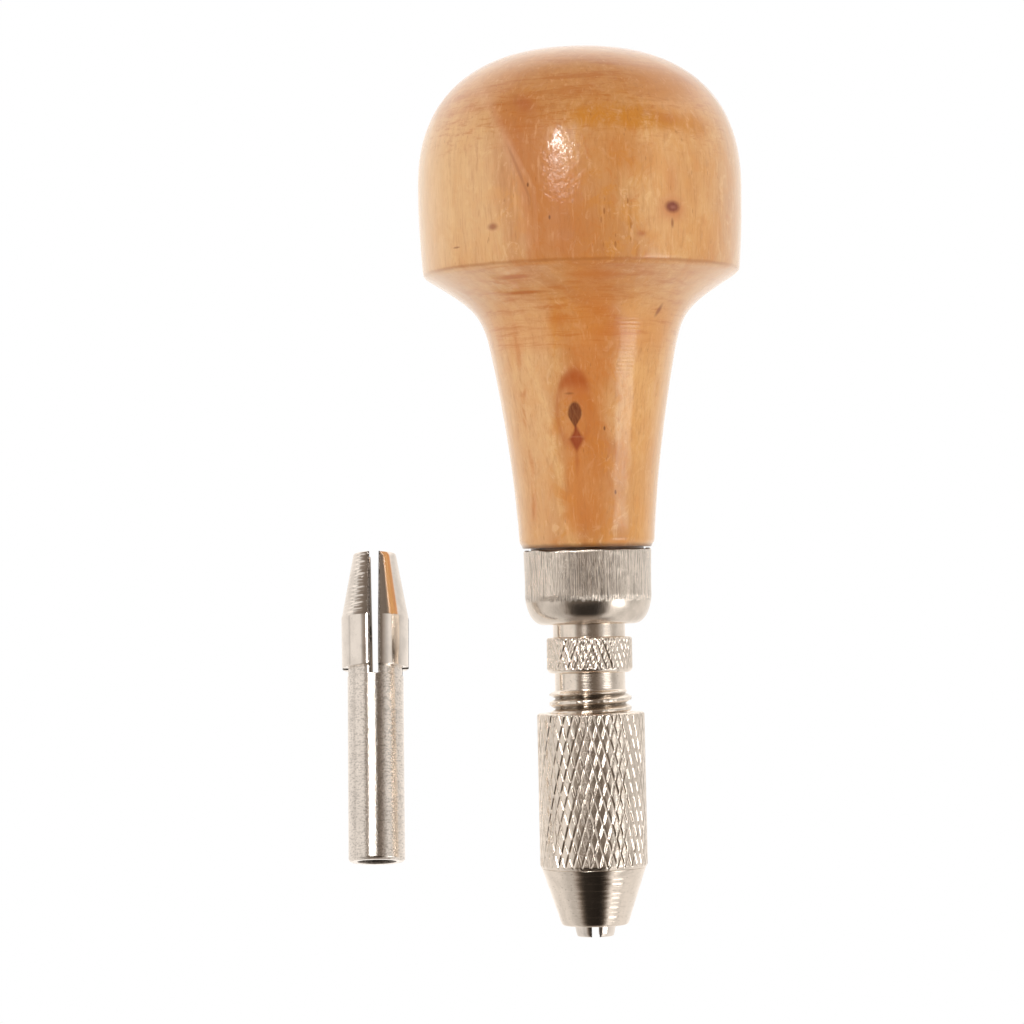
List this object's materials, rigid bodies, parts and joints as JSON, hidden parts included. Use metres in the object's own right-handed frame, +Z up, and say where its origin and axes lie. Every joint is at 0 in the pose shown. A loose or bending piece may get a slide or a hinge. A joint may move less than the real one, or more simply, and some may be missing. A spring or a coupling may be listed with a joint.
{
  "type": "bookbinding awl haft",
  "caption": "Palm-held bookbinding awl haft: mushroom wood handle, ferrule and a pin-vise chuck that grips a needle, with a spare collet beside it.",
  "frame": {"origin": "centre of the fitted collet's tip, where a needle leaves the chuck", "axes": "+Z up along the awl's axis towards the palm; +X to the right in the picture's view, so the spare collet is on the -X side; +Y away from the viewer"},
  "size_m": [0.045, 0.0354, 0.0966],
  "materials": {
    "wood": "clear gloss lacquer over close-grained hardwood",
    "ferrule": "nickel plated, fine vertical brushing",
    "chuck": "nickel plated, knurled and turned",
    "collet": "nickel plated, fine turning rings"
  },
  "bodies": {
    "haft": {"wood_handle": "wood", "ferrule": "ferrule", "chuck_spindle": "chuck"},
    "collet": {"collet_tube": "collet"},
    "nut": {"chuck_nut": "chuck"},
    "jaw_1": {"collet_jaw_1": "collet"},
    "jaw_2": {"collet_jaw_2": "collet"},
    "jaw_3": {"collet_jaw_3": "collet"},
    "jaw_4": {"collet_jaw_4": "collet"},
    "spare": {"spare_collet": "collet"}
  },
  "joints": [
    {"name": "nut_turn", "type": "hinge", "parent": "haft", "child": "collet", "pos_m": [0, 0, 0.02], "axis": [0, 0, 1], "range_deg": [-180.1, 330.1]},
    {"name": "nut_travel", "type": "slide", "parent": "collet", "child": "nut", "axis": [0, 0, 1], "range_m": [-0.00055, 0.00101]},
    {"name": "jaw_1_close", "type": "hinge", "parent": "collet", "child": "jaw_1", "pos_m": [0.0018, 0.0018, 0.0138], "axis": [-0.7071, 0.7071, 0], "range_deg": [-0.7, 1.3]},
    {"name": "jaw_2_close", "type": "hinge", "parent": "collet", "child": "jaw_2", "pos_m": [-0.0018, 0.0018, 0.0138], "axis": [-0.7071, -0.7071, 0], "range_deg": [-0.7, 1.3]},
    {"name": "jaw_3_close", "type": "hinge", "parent": "collet", "child": "jaw_3", "pos_m": [-0.0018, -0.0018, 0.0138], "axis": [0.7071, -0.7071, 0], "range_deg": [-0.7, 1.3]},
    {"name": "jaw_4_close", "type": "hinge", "parent": "collet", "child": "jaw_4", "pos_m": [0.0018, -0.0018, 0.0138], "axis": [0.7071, 0.7071, 0], "range_deg": [-0.7, 1.3]},
    {"name": "spare_away", "type": "slide", "parent": "haft", "child": "spare", "axis": [-1, 0, 0], "range_m": [0, 0.03]}
  ],
  "couplings": [
    {"joint": "nut_turn", "follows": "nut_travel", "rad_per_m": 5712},
    {"joint": "jaw_1_close", "follows": "nut_travel", "rad_per_m": 20.901},
    {"joint": "jaw_2_close", "follows": "nut_travel", "rad_per_m": 20.901},
    {"joint": "jaw_3_close", "follows": "nut_travel", "rad_per_m": 20.901},
    {"joint": "jaw_4_close", "follows": "nut_travel", "rad_per_m": 20.901}
  ]
}
